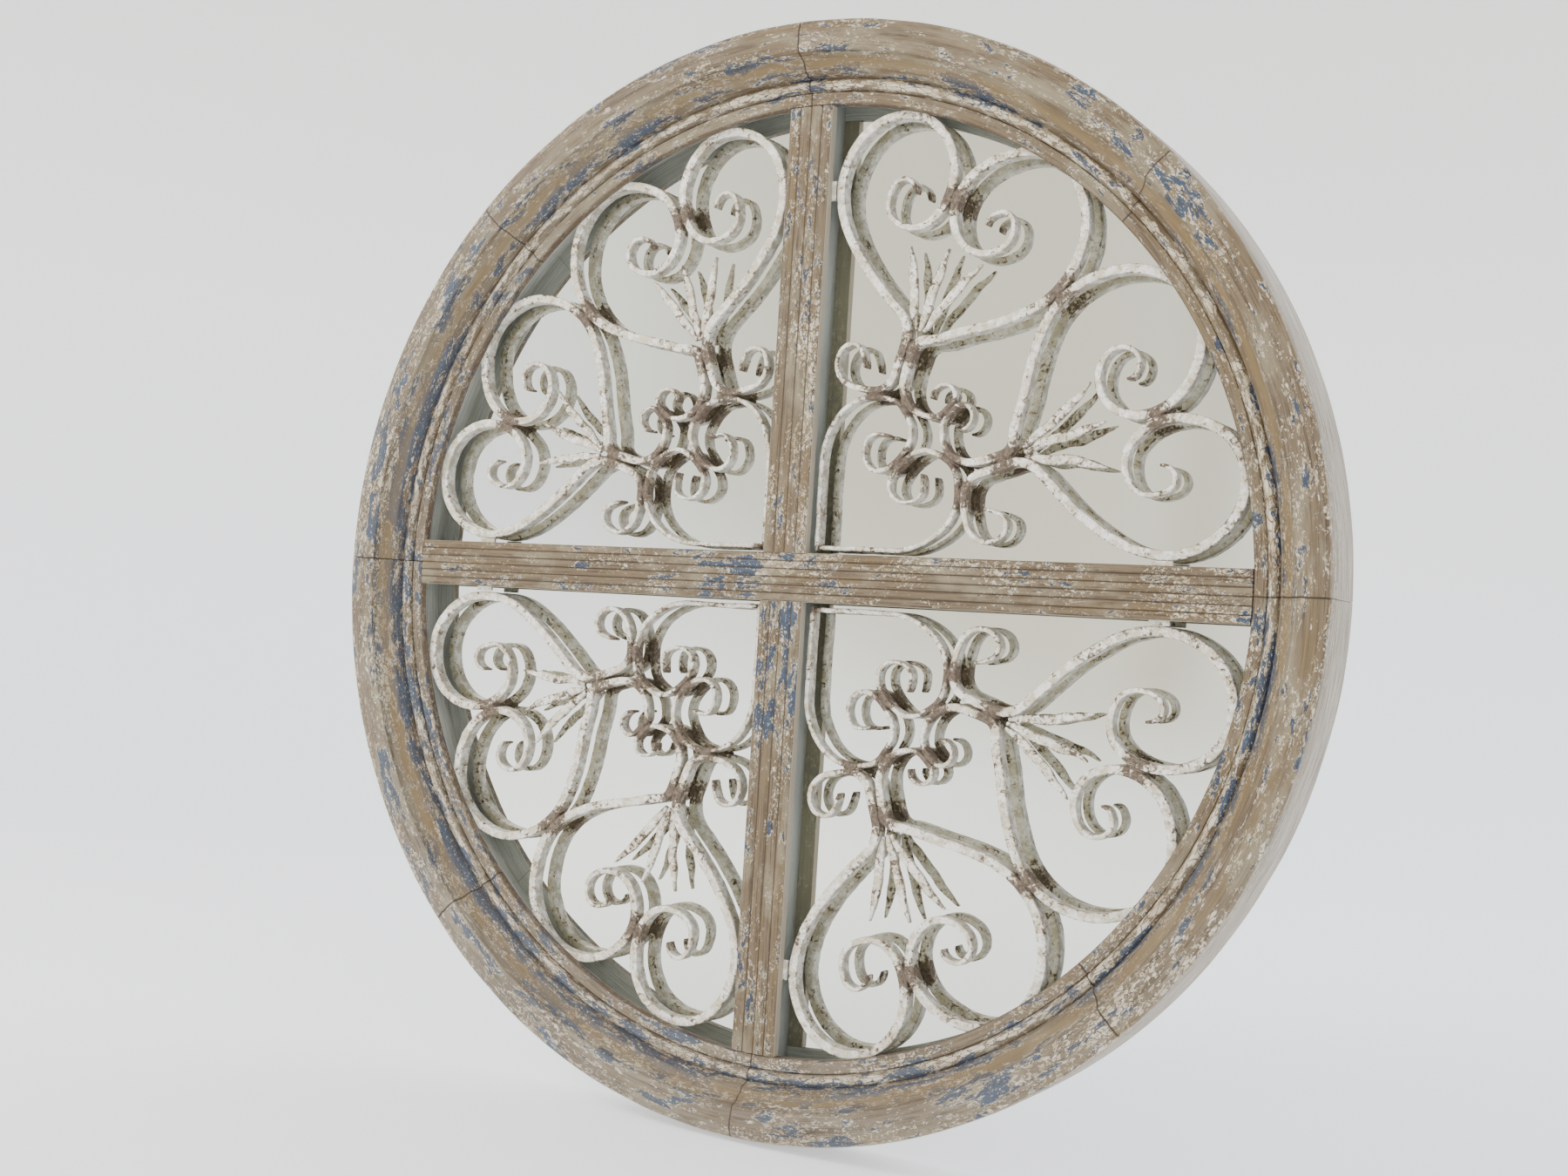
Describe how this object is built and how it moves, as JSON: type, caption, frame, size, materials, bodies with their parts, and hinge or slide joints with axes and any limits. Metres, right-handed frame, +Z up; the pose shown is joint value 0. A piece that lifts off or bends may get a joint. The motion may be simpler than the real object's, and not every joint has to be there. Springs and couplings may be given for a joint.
{
  "type": "round wall mirror",
  "caption": "Round wall mirror: segmented, moulded wooden ring, crossed glazing bars and forged heart scrollwork over one mirror plate, with hinged hanging rings behind.",
  "frame": {"origin": "centre of the backing board's rear face, where the mirror lies against the wall", "axes": "+Y out of the back into the wall, the front looks along -Y, +Z up, +X to the viewer's right"},
  "size_m": [0.9, 0.0682, 0.9],
  "materials": {
    "ring_wood": "weathered brown wood with worn slate blue and cream paint",
    "bar_wood": "weathered brown wood with worn slate blue and cream paint",
    "dowel_wood": "plain beech",
    "mirror_glass": "silvered float glass",
    "backing_board": "raw hardboard",
    "scroll_iron": "chipped off-white paint over rusted iron",
    "screw_steel": "dull zinc",
    "hanger_steel": "nickel-plated steel"
  },
  "bodies": {
    "frame": {"ring_segment_1": "ring_wood", "ring_segment_2": "ring_wood", "ring_segment_3": "ring_wood", "ring_segment_4": "ring_wood", "ring_segment_5": "ring_wood", "ring_segment_6": "ring_wood", "ring_segment_7": "ring_wood", "ring_segment_8": "ring_wood", "ring_dowels": "dowel_wood", "mirror_plate": "mirror_glass", "backing_board": "backing_board", "board_screws": "screw_steel", "horizontal_bar": "bar_wood", "vertical_bar": "bar_wood", "upper_right_upright_heart_outer_scroll": "scroll_iron", "upper_right_upright_heart_inner_scroll": "scroll_iron", "upper_right_level_heart_outer_scroll": "scroll_iron", "upper_right_level_heart_inner_scroll": "scroll_iron", "upper_right_upright_corner_scroll": "scroll_iron", "upper_right_level_corner_scroll": "scroll_iron", "upper_right_upright_leaves": "scroll_iron", "upper_right_level_leaves": "scroll_iron", "upper_left_upright_heart_outer_scroll": "scroll_iron", "upper_left_upright_heart_inner_scroll": "scroll_iron", "upper_left_level_heart_outer_scroll": "scroll_iron", "upper_left_level_heart_inner_scroll": "scroll_iron", "upper_left_upright_corner_scroll": "scroll_iron", "upper_left_level_corner_scroll": "scroll_iron", "upper_left_upright_leaves": "scroll_iron", "upper_left_level_leaves": "scroll_iron", "lower_right_upright_heart_outer_scroll": "scroll_iron", "lower_right_upright_heart_inner_scroll": "scroll_iron", "lower_right_level_heart_outer_scroll": "scroll_iron", "lower_right_level_heart_inner_scroll": "scroll_iron", "lower_right_upright_corner_scroll": "scroll_iron", "lower_right_level_corner_scroll": "scroll_iron", "lower_right_upright_leaves": "scroll_iron", "lower_right_level_leaves": "scroll_iron", "lower_left_upright_heart_outer_scroll": "scroll_iron", "lower_left_upright_heart_inner_scroll": "scroll_iron", "lower_left_level_heart_outer_scroll": "scroll_iron", "lower_left_level_heart_inner_scroll": "scroll_iron", "lower_left_upright_corner_scroll": "scroll_iron", "lower_left_level_corner_scroll": "scroll_iron", "lower_left_upright_leaves": "scroll_iron", "lower_left_level_leaves": "scroll_iron", "fixing_tabs": "scroll_iron", "tab_screws": "screw_steel", "hanger_strap_left": "hanger_steel", "hanger_strap_right": "hanger_steel", "hanger_screws": "screw_steel"},
    "hanging_ring_left": {"hanger_ring_left": "hanger_steel"},
    "hanging_ring_right": {"hanger_ring_right": "hanger_steel"}
  },
  "joints": [
    {"name": "ring_hinge_left", "type": "hinge", "parent": "frame", "child": "hanging_ring_left", "pos_m": [-0.39877, 0.00315, 0.18595], "axis": [-0.9063, 0, 0.4226], "range_deg": [0, 180]},
    {"name": "ring_hinge_right", "type": "hinge", "parent": "frame", "child": "hanging_ring_right", "pos_m": [0.39877, 0.00315, 0.18595], "axis": [-0.9063, 0, -0.4226], "range_deg": [0, 180]}
  ]
}
